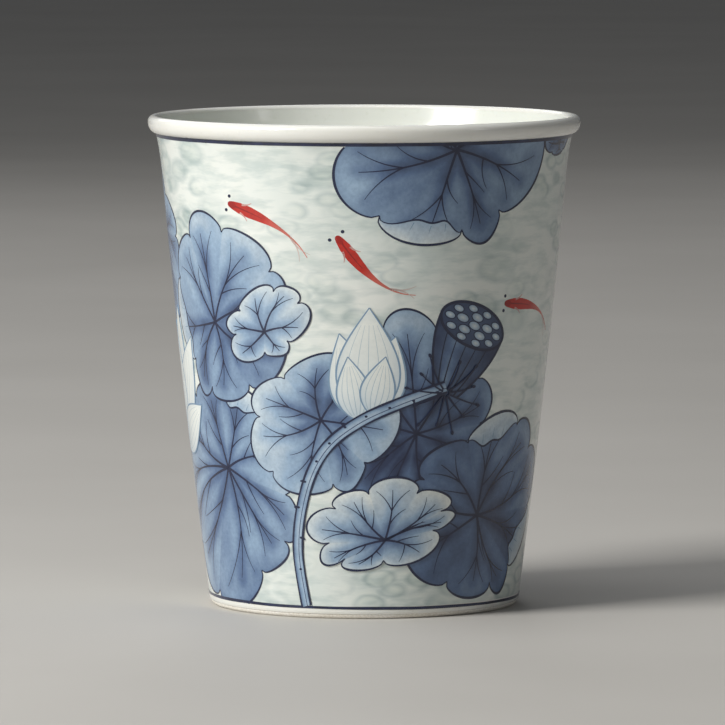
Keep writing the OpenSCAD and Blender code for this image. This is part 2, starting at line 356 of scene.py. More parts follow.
def distance(points, paths):
    """Distance of each flat point from the nearest of some paths."""
    shape = points.shape[:-1]
    points = points.reshape(-1, 1, 2)
    best = np.full(len(points), np.inf)
    for path in paths:
        a, b = path[:-1][None], path[1:][None]
        run = b - a
        t = np.clip(((points - a) * run).sum(-1) / np.maximum((run ** 2).sum(-1), 1e-9), 0, 1)
        gap = np.linalg.norm(points - a - run * t[..., None], axis=-1).min(axis=1)
        best = np.minimum(best, gap)
    return best.reshape(shape)


def cloud(points, seed, size):
    """Soft unevenness over flat points, mostly between -1 and 1, with patches of about a size."""
    random = np.random.default_rng(seed)
    total = np.zeros(points.shape[:-1])
    for _ in range(7):
        angle, phase = random.uniform(0, 2 * math.pi, 2)
        step = 2 * math.pi / (size * random.uniform(0.6, 1.8))
        along = points[..., 0] * math.cos(angle) + points[..., 1] * math.sin(angle)
        total += np.sin(along * step + phase)
    return total / 4


# ---------------------------------------------------------------- leaves, petals and stems

# Leaves: steps along a lobe's edge, rows from the middle out, steps along a vein, how far a leaf reaches
# under a line that cuts it off, and how far apart the columns of its grid may stand at its rim
LOBE_STEPS = 30
LEAF_ROWS = 30
VEIN_STEPS = 40
UNDER_LINE = 0.2
COLUMN_GAP = 0.8
# Leaves with a half width over this have a third, small fork on each vein
TWIG_FROM = 12
# Widths of strokes as shares of the leaf's line: both ends of a vein, of a fork and of a tick on a fold, and
# the least and the swell of the edge of a lobe and of a fold
VEIN_ENDS = (1.05, 0.3)
FORK_ENDS = (0.6, 0.2)
TICK_ENDS = (0.35, 0.1)
EDGE_SWELL = (0.45, 0.5)
FOLD_SWELL = (0.3, 0.45)


def leaf_edge(leaf):
    """The edge of a lotus leaf, a slightly uneven ellipse with round lobes and sharp notches."""
    at, half, tilt, lobes, notch, phase = leaf
    i = np.arange(lobes * LOBE_STEPS)
    u = (i % LOBE_STEPS) / LOBE_STEPS
    a = 360 * i / lobes / LOBE_STEPS
    swing = np.radians(a + 8 * np.sin(np.radians(3 * a + phase)))
    uneven = 1 + 0.07 * np.sin(np.radians(2 * a + phase)) + 0.05 * np.sin(np.radians(5 * a + 2 * phase))
    r = (1 - notch * (1 - np.sqrt(np.sin(math.pi * u)))) * uneven
    edge = np.stack([half[0] * r * np.cos(swing), half[1] * r * np.sin(swing)], axis=1)
    return flat(at) + turned(edge, tilt)


def cut_off(rim, middle):
    """How much of the way from a leaf's eye to its rim is kept where it runs a little way under a line."""
    rays = rim - middle
    keep = np.ones(len(rim))
    for limit, beyond in ((RIM_LINE_LOW + UNDER_LINE, rim[:, 1] > RIM_LINE_LOW + UNDER_LINE),
                          (FOOT_LINE_TOP - UNDER_LINE, rim[:, 1] < FOOT_LINE_TOP - UNDER_LINE)):
        keep[beyond] = (limit - middle[1]) / rays[beyond, 1]
    return keep


def leaf_veins(leaf, middle, rays, keep, random):
    """Veins that run from the eye to the lobes, and forks that leave them on the way."""
    half, lobes = leaf[1], leaf[3]

    def goal(lobe, share, reach):
        index = int((lobe + share) * LOBE_STEPS) % len(rays)
        return middle + rays[index] * min(reach, keep[index] * 0.98)

    veins, forks = [], []
    for k in range(lobes):
        bend = random.uniform(-0.09, 0.09)
        vein = curve(middle, goal(k, 0.5, 0.8), bend, VEIN_STEPS)
        veins.append(vein)
        fork = vein[int(VEIN_STEPS * random.uniform(0.5, 0.62))]
        forks.append(curve(fork, goal(k, 0.2, 0.86), 0.07))
        forks.append(curve(fork, goal(k, 0.8, 0.86), -0.07))
        if half[0] > TWIG_FROM:
            twig = vein[int(VEIN_STEPS * random.uniform(0.3, 0.4))]
            forks.append(curve(twig, goal(k, random.choice([0.04, 0.96]), 0.62), random.uniform(-0.1, 0.1)))
    return veins, forks


def closer(sheet):
    """Adds columns between two whose rims stand too far apart, so that a film bends round the wall."""
    ring = np.concatenate([sheet, sheet[:, :1]], axis=1)
    spread = np.linalg.norm(np.diff(ring[-1, :, :2], axis=0), axis=1)
    counts = np.maximum(1, np.ceil(spread / COLUMN_GAP)).astype(int)
    places = np.concatenate([k + np.arange(count) / count for k, count in enumerate(counts)])
    before = places.astype(int)
    part = (places - before)[:, None]
    return ring[:, before] * (1 - part) + ring[:, before + 1] * part


def swollen(line, widths, run):
    """Widths of a stroke that is thickest in its middle, for places from 0 to 1 along it."""
    return line * (widths[0] + widths[1] * np.sin(math.pi * run))


def roll_lobe(art, middle, rays, line, seed, random):
    """Turns over a lobe's end, so that the leaf's pale underside shows."""
    along = np.linspace(0, 1, len(rays))
    depth = 0.24 + 0.10 * random.random()
    inner = 1 - depth * np.sin(math.pi * along) ** 0.8
    inner *= 1 + 0.03 * np.sin(np.linspace(0, 5 * math.pi, len(rays)))
    rows = np.linspace(0, 1, 9)[:, None]
    fold = inner[None] + (0.995 - inner[None]) * rows
    patch = middle + rays[None] * fold[..., None]
    pale = 0.46 - 0.30 * rows + 0.05 * cloud(patch, seed, 3)
    art.film(patch, wash(pale), above=2)
    art.stroke(patch[0], swollen(line, FOLD_SWELL, along), INK, above=4)
    for share in (0.3, 0.5, 0.7):
        tick = patch[1:5, int(share * LOBE_STEPS)]
        art.stroke(tick, taper(line, TICK_ENDS, len(tick)), PALE_INK, above=3)


def paint_leaf(node, leaf, seed, eye=(0, 0), core=0.72, edge=0.52, line=0.42, rolled=(), shade=(),
               tip=0.0, glow=0.12):
    """A lotus leaf: a wash that darkens along its veins, its veins, its inked edge and its rolled lobes.

    eye is where the veins meet, as shares of the leaf's half sizes. core and edge are how dark the wash is
    there and at the rim, tip how much paler each lobe's end is and glow how much darker it is along a vein.
    line is the ink's width. rolled lists the lobes that turn over, shade soft shadows as place, radius and
    strength.
    """
    at, half, tilt, lobes = leaf[:4]
    random = np.random.default_rng(seed)
    art = Painting(node)
    rim = leaf_edge(leaf)
    middle = flat(at) + turned([half[0] * eye[0], half[1] * eye[1]], tilt)
    rays = rim - middle
    keep = cut_off(rim, middle)
    veins, forks = leaf_veins(leaf, middle, rays, keep, random)

    # The grid of the wash, with its share of the way out, its distance from the rim and its lobe's own tone
    share = np.linspace(0.03, 1, LEAF_ROWS)[:, None] * keep[None]
    inward = np.linalg.norm(rays, axis=1)[None] * (1 - share)
    lobe_tone = random.uniform(-0.06, 0.06, lobes)[np.arange(len(rim)) // LOBE_STEPS]
    sheet = np.dstack([middle + rays[None] * share[..., None], share, inward,
                       np.broadcast_to(lobe_tone, share.shape)])
    sheet = closer(sheet)
    grid, share, inward, lobe_tone = sheet[..., :2], sheet[..., 2], sheet[..., 3], sheet[..., 4]

    # How dark it is: towards the eye, along veins and forks, at the rim, and unevenly as a brush leaves it
    near = distance(grid, veins)
    dark = edge + (core - edge) * (1 - share) ** 1.1 + lobe_tone * share
    dark = dark + glow * np.exp(-(near / 1.3) ** 2)
    dark = dark + glow * 0.6 * np.exp(-(distance(grid, forks) / 0.9) ** 2)
    dark = dark - 0.05 * np.exp(-((near - 2.4) / 1.1) ** 2) - tip * share ** 4
    dark = dark + 0.07 * np.exp(-inward / 0.45) + 0.07 * cloud(grid, seed, 9)
    dark = dark - 0.07 * (grid[..., 1] - middle[1]) / half[1]
    for place, radius, strength in shade:
        gap = np.linalg.norm(grid - flat(place), axis=-1)
        dark = dark + strength * np.exp(-(gap / radius) ** 2)
    art.film(grid, wash(dark), wrap=True, centre=(middle, tone(dark[0].mean())))

    for paths, ends in ((veins, VEIN_ENDS), (forks, FORK_ENDS)):
        for path in paths:
            art.stroke(path, taper(line, ends, len(path)), INK)
    # Each lobe's edge is one stroke, which ends where a line cuts the leaf off
    for k in range(lobes):
        index = np.arange(k * LOBE_STEPS, (k + 1) * LOBE_STEPS + 1) % len(rim)
        shown = keep[index] >= 0.999
        if shown.sum() > 3:
            run = np.arange(len(index))[shown] / LOBE_STEPS
            art.stroke(rim[index][shown], swollen(line, EDGE_SWELL, run), INK, above=3)
        if k in rolled and shown.all():
            roll_lobe(art, middle, rays[index], line, seed + k, random)
    art.done(PAINT)


# Petals: steps along and across, the width of their lines and how dark they are at the base
PETAL_STEPS = 40
PETAL_COLUMNS = 25
PETAL_LINE = 0.26
PETAL_BLUSH = 0.30


def petal_sides(petal):
    """Both sides of a petal, from its base to its tip."""
    base, tip, width = flat(petal[0]), flat(petal[1]), petal[2]
    run = tip - base
    side = np.array([-run[1], run[0]]) / np.linalg.norm(run) * width / 2
    t = np.linspace(0, 1, PETAL_STEPS)[:, None]
    out = np.maximum(np.sin(math.pi * t ** 0.75), 0.004)
    return base + run * t + side * out, base + run * t - side * out


def paint_petals(node, petals):
    """White petals with fine lines that run to their tips, laid one over the other."""
    art = Painting(node)
    for k, petal in enumerate(petals):
        left, right = petal_sides(petal)
        share = np.linspace(0, 1, PETAL_COLUMNS)[None, :, None]
        grid = left[:, None] * (1 - share) + right[:, None] * share
        up = np.linspace(0, 1, PETAL_STEPS)[:, None]
        across = np.abs(share[..., 0] * 2 - 1)
        dark = PETAL_BLUSH * (1 - up) ** 2.4 + 0.12 * across ** 5 + 0.10 * np.maximum(0, up - 0.85) / 0.15
        art.film(grid, wash(dark), above=2 * k)
        for column in range(4, PETAL_COLUMNS - 4, 4):
            path = grid[3:-6, column]
            art.stroke(path, taper(PETAL_LINE, (0.7, 0.2), len(path)), FAINT_INK, above=2 * k + 1)
        for path in (grid[:, 0], grid[:, -1]):
            run = np.linspace(0.05, 0.95, len(path))
            art.stroke(path, swollen(PETAL_LINE, (0.6, 0.6), run), PALE_INK, above=2 * k + 1)
    art.done(PETAL)


# Stems: their width and that of their lines, and the points from one thorn to the next
STEM_W = 1.9
STEM_LINE = 0.34
THORN_STEP = 7


def paint_stem(node, places):
    """A stem with a pale middle, inked sides and small thorns, cut off by the foot line."""
    art = Painting(node)
    path = smooth([flat(place) for place in places], SMOOTH_STEPS)
    path[:, 1] = np.maximum(path[:, 1], FOOT_LINE_TOP)
    path = path[:np.argmin(path[:, 1]) + 1]
    random = np.random.default_rng(5)
    run, side = ways(path)
    across = np.linspace(-0.5, 0.5, 9)
    grid = path[:, None] + side[:, None] * (STEM_W * across)[None, :, None]
    dark = 0.42 + 0.3 * (np.abs(across - 0.1) * 2) ** 2 + 0.07 * cloud(grid, 3, 5)
    art.film(grid, wash(dark))
    waver = 1 + 0.2 * np.sin(np.arange(len(path)) * 0.4)
    for edge in (0, -1):
        art.stroke(grid[:, edge], STEM_LINE * waver, INK, above=3)
    art.stroke(path + side * STEM_W * 0.12, STEM_LINE * 0.4, SOFT_INK, above=2)
    for i in range(4, len(path) - 4, THORN_STEP):
        shift = random.uniform(-0.34, 0.34)
        place = path[i] + side[i] * STEM_W * shift
        art.dot(place, (STEM_LINE * 0.8, STEM_LINE * 0.6), INK, above=3)
        if abs(shift) > 0.2:
            out = math.copysign(1, shift)
            root = path[i] + side[i] * STEM_W * 0.5 * out
            thorn = np.stack([root - side[i] * out * 0.5, root, root + side[i] * out * 0.55 + run[i] * 0.25])
            art.stroke(thorn, STEM_LINE * np.array([0.7, 1.5, 0.5]), INK, above=3)
    art.done(PAINT)


# ---------------------------------------------------------------- materials

# The sockets of a Mix node that carry colours: its two inputs and its result
MIX_A = 6
MIX_B = 7
MIX_RESULT = 2
UNTOUCHED = np.ones(3)


def nodes_of(name):
    """A new material, its node tree and its shader."""
    material = bpy.data.materials.new(name)
    material.use_nodes = True
    tree = material.node_tree
    return material, tree, tree.nodes["Principled BSDF"]


def noise(tree, vector, scale, detail=3, roughness=0.5, output="Fac"):
    """A noise over places in metres."""
    node = tree.nodes.new("ShaderNodeTexNoise")
    node.inputs["Scale"].default_value = scale
    node.inputs["Detail"].default_value = detail
    node.inputs["Roughness"].default_value = roughness
    tree.links.new(vector, node.inputs["Vector"])
    return node.outputs[output]


def ramp(tree, value, stops):
    """A colour that changes with a value, as pairs of position and linear colour."""
    node = tree.nodes.new("ShaderNodeValToRGB")
    while len(node.color_ramp.elements) < len(stops):
        node.color_ramp.elements.new(1)
    for element, (position, colour) in zip(node.color_ramp.elements, stops):
        element.position = position
        element.color = (*colour, 1)
    tree.links.new(value, node.inputs["Fac"])
    return node.outputs["Color"]


def mix(tree, blend, factor, a, b):
    """Blends two colours, by a number or by another socket's value."""
    node = tree.nodes.new("ShaderNodeMix")
    node.data_type = "RGBA"
    node.blend_type = blend
    if isinstance(factor, float):
        node.inputs["Factor"].default_value = factor
    else:
        tree.links.new(factor, node.inputs["Factor"])
    tree.links.new(a, node.inputs[MIX_A])
    tree.links.new(b, node.inputs[MIX_B])
    return node.outputs[MIX_RESULT]


def bump(tree, shader, height, strength, depth):
    """Unevenness of a surface, of a depth in metres."""
    node = tree.nodes.new("ShaderNodeBump")
    node.inputs["Strength"].default_value = strength
    node.inputs["Distance"].default_value = depth
    tree.links.new(height, node.inputs["Height"])
    tree.links.new(node.outputs["Normal"], shader.inputs["Normal"])


def object_place(tree):
    return tree.nodes.new("ShaderNodeTexCoord").outputs["Object"]


def stretched(tree, place, scale):
    """Places stretched along each axis before a texture reads them."""
    node = tree.nodes.new("ShaderNodeMapping")
    node.inputs["Scale"].default_value = scale
    tree.links.new(place, node.inputs["Vector"])
    return node.outputs[0]


def gloss(tree, shader, place, low, high, scale=180):
    """Roughness that varies a little, as a fired glaze's does."""
    spread = tree.nodes.new("ShaderNodeMapRange")
    spread.inputs["To Min"].default_value = low
    spread.inputs["To Max"].default_value = high
    tree.links.new(noise(tree, place, scale, 2), spread.inputs["Value"])
    tree.links.new(spread.outputs["Result"], shader.inputs["Roughness"])


def orange_peel(tree, shader, place):
    """The faint dimples of a fired glaze."""
    bump(tree, shader, noise(tree, place, 420, 2), 0.12, 0.00006)


def clear_coat(shader, weight, roughness):
    shader.inputs["Coat Weight"].default_value = weight
    shader.inputs["Coat Roughness"].default_value = roughness


def thick_glaze(shader, depth, coat_roughness):
    """A glaze that light soaks into a little before it reaches the clay."""
    shader.inputs["Specular IOR Level"].default_value = 0.55
    shader.inputs["Subsurface Weight"].default_value = depth
    shader.inputs["Subsurface Radius"].default_value = (0.004, 0.003, 0.002)
    shader.inputs["Subsurface Scale"].default_value = 0.5
    clear_coat(shader, 0.35, coat_roughness)


def glaze_material(name, colour, tint):
    """White glaze over clay, a shade warmer or cooler here and there."""
    material, tree, shader = nodes_of(name)
    place = object_place(tree)
    soft = ramp(tree, noise(tree, place, 60, 4), [(0.3, tint), (0.7, colour)])
    dusty = ramp(tree, noise(tree, place, 900, 2, 0.6), [(0.2, colour * 0.93), (0.4, UNTOUCHED)])
    tree.links.new(mix(tree, "MULTIPLY", 0.35, soft, dusty), shader.inputs["Base Color"])
    thick_glaze(shader, 0.08, 0.04)
    gloss(tree, shader, place, 0.10, 0.22)
    orange_peel(tree, shader, place)
    return material


def water_rings(tree, place, moved, colour, scale, tint, patch, seen):
    """Flat ovals with a tinted outline over a colour, drawn only in some patches."""
    ovals = tree.nodes.new("ShaderNodeTexVoronoi")
    ovals.feature = "F1"
    ovals.inputs["Scale"].default_value = scale
    tree.links.new(stretched(tree, moved, (1, 1, 1.75)), ovals.inputs["Vector"])
    ring = ramp(tree, ovals.outputs["Distance"],
                [(0.0, srgb(222, 231, 232)), (0.30, srgb(243, 246, 244)), (0.43, tint), (0.57, UNTOUCHED)])
    where = ramp(tree, noise(tree, place, patch, 2), [(seen - 0.08, np.zeros(3)), (seen + 0.08, UNTOUCHED)])
    return mix(tree, "MIX", where, colour, mix(tree, "MULTIPLY", 0.7, colour, ring))


def ground_material():
    """The painted ground: pale green water with faint flat rings and level brush strokes."""
    material, tree, shader = nodes_of("ground_glaze")
    place = object_place(tree)
    # Places moved about a little, so that rings and strokes aren't regular
    shift = tree.nodes.new("ShaderNodeVectorMath")
    shift.operation = "MULTIPLY_ADD"
    shift.inputs[1].default_value = (0.0018, 0.0018, 0.0014)
    tree.links.new(noise(tree, place, 110, 2, output="Color"), shift.inputs[0])
    tree.links.new(place, shift.inputs[2])
    moved = shift.outputs[0]
    patches = noise(tree, place, 75, 4)
    colour = ramp(tree, patches, [(0.32, srgb(223, 231, 226)), (0.68, srgb(239, 242, 236))])
    colour = water_rings(tree, place, moved, colour, 165, srgb(198, 210, 214), 57, 0.47)
    colour = water_rings(tree, place, moved, colour, 105, srgb(203, 214, 217), 42, 0.49)
    level = stretched(tree, moved, (0.24, 0.24, 1))
    streak = ramp(tree, noise(tree, level, 560, 3, 0.6), [(0.34, srgb(212, 222, 224)), (0.54, UNTOUCHED)])
    tree.links.new(mix(tree, "MULTIPLY", 0.6, colour, streak), shader.inputs["Base Color"])
    thick_glaze(shader, 0.06, 0.05)
    gloss(tree, shader, place, 0.12, 0.24)
    orange_peel(tree, shader, place)
    return material


def paint_material(name, uneven):
    """Painted colour: the tone painted at each point, uneven as a loaded brush leaves it."""
    material, tree, shader = nodes_of(name)
    place = object_place(tree)
    painted = tree.nodes.new("ShaderNodeAttribute")
    painted.attribute_name = "paint"
    grain = ramp(tree, noise(tree, place, 1500, 4, 0.65), [(0.25, srgb(205, 209, 214)), (0.62, UNTOUCHED)])
    pools = ramp(tree, noise(tree, place, 260, 4, 0.6), [(0.3, srgb(212, 217, 224)), (0.6, UNTOUCHED)])
    colour = mix(tree, "MULTIPLY", uneven, painted.outputs["Color"], grain)
    tree.links.new(mix(tree, "MULTIPLY", uneven, colour, pools), shader.inputs["Base Color"])
    clear_coat(shader, 0.3, 0.05)
    gloss(tree, shader, place, 0.14, 0.28)
    orange_peel(tree, shader, place)
    return material


def line_material():
    """The cobalt of the two lines, thinner where the brush ran dry."""
    material, tree, shader = nodes_of("cobalt_line")
    place = object_place(tree)
    colour = ramp(tree, noise(tree, place, 300, 4, 0.6), [(0.3, srgb(20, 26, 50)), (0.7, srgb(42, 52, 88))])
    tree.links.new(colour, shader.inputs["Base Color"])
    clear_coat(shader, 0.3, 0.05)
    gloss(tree, shader, place, 0.14, 0.26)
    bump(tree, shader, noise(tree, place, 700, 2), 0.15, 0.00005)
    return material


def clay_material():
    """Bare fired clay on the foot: matt, fine-grained and a little toasted."""
    material, tree, shader = nodes_of("bare_porcelain")
    place = object_place(tree)
    grain = noise(tree, place, 2600, 5, 0.7)
    base = ramp(tree, noise(tree, place, 70, 3), [(0.35, srgb(240, 236, 226)), (0.65, srgb(246, 244, 238))])
    sand = ramp(tree, grain, [(0.3, srgb(214, 207, 195)), (0.55, UNTOUCHED)])
    tree.links.new(mix(tree, "MULTIPLY", 0.6, base, sand), shader.inputs["Base Color"])
    gloss(tree, shader, place, 0.6, 0.8, 900)
    bump(tree, shader, grain, 0.5, 0.00004)
    return material


LIP_GLAZE = glaze_material("lip_glaze_white", srgb(243, 243, 238), srgb(238, 237, 229))
INSIDE_GLAZE = glaze_material("inside_glaze_white", srgb(240, 242, 235), srgb(233, 236, 227))
GROUND_GLAZE = ground_material()
PAINT = paint_material("painted_wash", 0.55)
PETAL = paint_material("painted_petal", 0.15)
LINE = line_material()
CLAY = clay_material()


# ---------------------------------------------------------------- the cup

def levels(low, top, steps):
    return list(np.linspace(low, top, steps + 1))


def wall_side(low, top, depth, steps):
    """The wall between two heights, drawn depth inside it."""
    return [(float(wall_r(z)) - depth, z) for z in levels(low, top, steps)]


def skin(outer, inner):
    """The closed outline of a layer between two sides."""
    return outer + inner[::-1]


def lip_side(d):
    """The lip from the neck over its crown to the inside, drawn d inside it."""
    wide_z = CUP_H - LIP_CROWN
    crown_r = RIM_R - LIP_CROWN
    in_w = crown_r - (RIM_R - LIP_T)
    return ([(NECK_R - d, NECK_Z)]
            + arc(NECK_R, wide_z, RIM_R - NECK_R - d, wide_z - NECK_Z - d, -80, 0, 14)
            + arc(crown_r, wide_z, LIP_CROWN - d, LIP_CROWN - d, 6, 90, 12)
            + arc(crown_r, LIP_IN_Z, in_w - d, CUP_H - LIP_IN_Z - d, 98, 180, 10))


def inside_side(d):
    """The inside from below the lip down to the floor's middle, drawn d inside it."""
    thin_z = LIP_IN_Z - THIN_H
    bowl_z = FLOOR_Z + GLAZE_T + BOWL_ROUND
    bowl_r = float(inside_r(bowl_z)) - BOWL_ROUND
    heights = levels(LIP_IN_Z, thin_z, 14) + levels(thin_z, bowl_z, 30)[1:]
    return ([(float(inside_r(z)) + d, z) for z in heights]
            + arc(bowl_r, bowl_z, BOWL_ROUND + d, BOWL_ROUND + d, -4, -90, 22)
            + [(bowl_r * s, bowl_z - BOWL_ROUND - d) for s in (0.66, 0.33, 0.004)])


def hollow_side(d):
    """The hollow below the base from the axis out, drawn d inside the clay."""
    rounding = (FOOT_HOLLOW - GLAZE_T) / 2
    r = HOLLOW_R - GLAZE_T
    return ([(r * s, 2 * rounding + d) for s in (0.004, 0.33, 0.66, 0.9)]
            + arc(r - rounding, rounding, rounding + d, rounding + d, 90, 0, 12)
            + [(r + d, GLAZE_LOW / 2)])


def foot_ring():
    """The bare foot of the clay, from the edge of the hollow round to the wall."""
    toe = FOOT_R - GLAZE_T - GLAZE_LOW
    return ([(HOLLOW_R + GLAZE_LOW / 5, GLAZE_LOW / 6), (HOLLOW_R + GLAZE_LOW / 2, 0)]
            + arc(toe, GLAZE_LOW, float(wall_r(GLAZE_LOW)) - GLAZE_T - toe, GLAZE_LOW, -90, -6, 10))


def foot_roll():
    """The glaze below the foot line, which ends in a soft roll above the bare clay."""
    r = float(wall_r(GLAZE_LOW))
    roll = arc(r - GLAZE_T, GLAZE_LOW + GLAZE_T, GLAZE_T, GLAZE_T, -80, 0, 6)
    return roll + wall_side(GLAZE_LOW + GLAZE_T * 1.2, FOOT_LINE_TOP, 0, 4)


def make_cup():
    """The clay and the glaze on each of its surfaces."""
    clay = (hollow_side(GLAZE_T) + foot_ring() + wall_side(GLAZE_LOW, NECK_Z, GLAZE_T, 40)
            + lip_side(GLAZE_T) + inside_side(GLAZE_T))
    finish_piece(lathe("porcelain_body_clay", clay), CLAY, "porcelain_body")
    wall = skin(wall_side(FOOT_LINE_TOP, NECK_Z, 0, 90), wall_side(FOOT_LINE_TOP, NECK_Z, GLAZE_T, 20))
    foot = skin(foot_roll(), wall_side(GLAZE_LOW, FOOT_LINE_TOP, GLAZE_T, 4))
    for node, slot, material, outline in (
        ("inside_glaze", "white_glaze", INSIDE_GLAZE, skin(inside_side(0), inside_side(GLAZE_T))),
        ("lip_glaze", "white_glaze", LIP_GLAZE, skin(lip_side(0), lip_side(GLAZE_T))),
        ("wall_glaze", "ground_glaze", GROUND_GLAZE, wall),
        ("foot_glaze", "white_glaze", LIP_GLAZE, foot),
        ("base_glaze", "white_glaze", INSIDE_GLAZE, skin(hollow_side(0), hollow_side(GLAZE_T))),
    ):
        finish_piece(lathe(node + "_fine", outline), material, node)


def make_line(node, low, top, waver, tilt):
    """A painted line round the cup, drawn by hand on a turning wheel."""
    turn = np.arange(LINE_STEPS) * 2 * math.pi / LINE_STEPS
    sway = waver * (np.sin(turn * 3 + 1) + 0.6 * np.sin(turn * 7 + 2) + 0.4 * np.sin(turn * 13))
    sway -= tilt * np.sin(turn)
    swell = waver * (np.sin(turn * 5) + 0.5 * np.sin(turn * 11 + 1))
    rows = np.linspace(0, 1, 4)[:, None]
    height = (low + sway - swell / 2)[None] + rows * (top - low + swell)[None]
    along = np.broadcast_to(np.degrees(turn) * DEG_MM, height.shape)
    art = Painting(node)
    art.film(np.stack([along, height], axis=-1), INK, wrap=True)
    art.done(LINE)


make_cup()
make_line("rim_line", RIM_LINE_LOW, NECK_Z - 0.02, 0.02, 0)
make_line("foot_line", FOOT_LINE_LOW, FOOT_LINE_TOP, 0.03, 0.2)


# ---------------------------------------------------------------- the painting

# Lotus leaves, as in the CAD: middle in degrees and millimetres, half sizes in millimetres, tilt, number
# of lobes, depth of the notches and phase
HANGING = ((26, 82), (18.5, 18), 0, 8, 0.16, 40)
HANGING_SMALL = ((69, 84), (5.5, 4.5), 0, 6, 0.15, 10)
FAR_LEFT = ((-92, 64), (12.5, 14), 10, 8, 0.14, 200)
TALL = ((-49, 53.5), (14, 17.5), -12, 8, 0.15, 120)
TALL_CURL = ((-31, 51.5), (8.5, 6.6), 25, 6, 0.24, 60)
WIDE = ((-57, 21), (21.5, 18.5), 8, 10, 0.13, 300)
MIDDLE = ((-14.5, 34), (13.5, 13), 20, 7, 0.15, 80)
BEHIND_POD = ((16, 34.5), (15.5, 19.5), -8, 9, 0.13, 150)
BROAD = ((47, 19), (18.5, 17), -6, 9, 0.15, 20)
YOUNG = ((6, 16.5), (15.5, 7.5), 14, 8, 0.24, 230)
BACK_LOW = ((155, 17.5), (19, 15), 5, 9, 0.14, 90)
BACK_TALL = ((-152, 42), (11, 13.5), 12, 8, 0.15, 270)
BACK_HANGING = ((-162, 84), (15, 14), 0, 7, 0.16, 330)

# Petals: base, tip and width in millimetres, from the back of the flower to its front
FLOWER = (((-88, 30), (-97, 52), 10), ((-87, 30), (-79, 53), 10), ((-89, 29), (-110, 45), 9),
          ((-86, 29), (-67, 48), 9.5), ((-88, 29), (-88, 50), 11), ((-86, 28), (-64, 36), 8))
BUD = (((-1, 35), (-7.5, 50), 8), ((3, 36), (9.5, 49.5), 8), ((1, 35), (1.5, 54.5), 11),
       ((-2, 35), (-5, 46), 6), ((2.5, 35.8), (6.5, 46), 6))
BACK_BUD = (((117, 34), (111, 46.5), 7), ((117, 34), (123.5, 47), 7), ((117, 34), (117.5, 51), 9))

# Stems, as the points that they run through
STEM = ((26, 40.5), (12, 38), (-2, 34.5), (-13, 29.5), (-20, 22), (-23.5, 12), (-21, 1))
BACK_STEM = ((117, 35), (119, 27), (117, 18), (113, 9), (114, 1))

# The seed pod: where its cone starts, which way it leans, its widths and length, and its disc's half height
POD_AT = (26, 39.5)
POD_TILT = -24
POD_BASE_W = 5
POD_TOP_W = 14
POD_LEN = 12.5
POD_DISC_H = 3.6
POD_ROWS = 26
POD_DISC_STEPS = 60
# Rings of seeds on the disc, as their share of the way out, the first seed's angle and the number of seeds
SEED_RINGS = ((0, 0, 1), (0.42, 20, 5), (0.76, 0, 10))

STAMEN_SPREAD = 140
STAMEN_COUNT = 12
STAMEN_LEN = 6.5
STAMEN_BEND = 14
STAMEN_STEPS = 14

# Fish: head, the way it points in degrees above the horizontal, and how far its body bends
FISH = (((-41.5, 72), 161, -50), ((-7.7, 66.7), 125, 62), ((47, 54.5), 176, -60), ((128, 66), 20, -45),
        ((-118, 63), -5, 30))
# A fish's width from its head to the end of its tail, as shares of FISH_W
FISH_SHAPE = (0.5, 0.95, 1, 0.8, 0.5, 0.28, 0.16, 0.1, 0.06)
FISH_W = 2
FISH_LEN = 9
TAIL_LEN = 8
# Where along a fish its red starts to fade, and how much of it goes
FADE_FROM = 0.42
FADE = 0.72
FISH_STEPS = 6
EYE_R = 0.3
EYE_OUT = 1.275


def make_leaves():
    paint_leaf("leaf_far_left", FAR_LEFT, 3, eye=(0.1, 0.15), rolled=(2,))
    paint_leaf("leaf_wide", WIDE, 4, eye=(0.18, 0.22), core=0.68, rolled=(1, 7),
               shade=(((-50, 40), 7, 0.22), ((-22, 24), 5, -0.12)), line=0.46)
    paint_leaf("leaf_tall", TALL, 7, eye=(-0.05, -0.15), core=0.70, edge=0.53, rolled=(4,),
               shade=(((-34, 49), 6, 0.18), ((-48, 70), 7, -0.08)))
    paint_leaf("leaf_behind_pod", BEHIND_POD, 8, eye=(0.05, -0.1), core=0.78, edge=0.64,
               shade=(((22, 34), 9, 0.1), ((1, 27), 7, 0.12), ((12, 51), 6, -0.08)))
    paint_leaf("leaf_middle", MIDDLE, 9, eye=(0.05, 0.05), core=0.66, edge=0.47, tip=0.06,
               shade=(((-8, 40), 6, 0.15), ((-34, 33), 6, -0.12)), line=0.38)
    paint_leaf("leaf_tall_curl", TALL_CURL, 10, eye=(-0.1, -0.2), core=0.55, edge=0.34,
               tip=0.16, line=0.4)
    paint_leaf("leaf_broad", BROAD, 11, eye=(-0.15, -0.1), core=0.88, edge=0.76,
               rolled=(2, 8), line=0.5, glow=0.08)
    paint_leaf("leaf_young", YOUNG, 12, eye=(0, -0.35), core=0.62, edge=0.34, tip=0.2)
    paint_leaf("leaf_hanging", HANGING, 13, eye=(0, -0.02), core=0.76, edge=0.56,
               rolled=(5,), line=0.46)
    paint_leaf("leaf_hanging_small", HANGING_SMALL, 14, eye=(0, -0.5))
    paint_leaf("leaf_back_low", BACK_LOW, 15, eye=(-0.1, 0.1), rolled=(3,), line=0.46)
    paint_leaf("leaf_back_tall", BACK_TALL, 16, eye=(0.1, -0.1), rolled=(2,))
    paint_leaf("leaf_back_hanging", BACK_HANGING, 17, eye=(0, -0.14))


def on_pod(x, y):
    """Flat points from millimetres across the pod and along it."""
    return flat(POD_AT) + turned(np.stack(np.broadcast_arrays(x, y), axis=-1), POD_TILT)


def on_disc(reach, angle):
    """Flat points on the disc at the pod's end, from a share of the way out and an angle in radians."""
    return on_pod(POD_TOP_W / 2 * reach * np.cos(angle), POD_LEN + POD_DISC_H * reach * np.sin(angle))


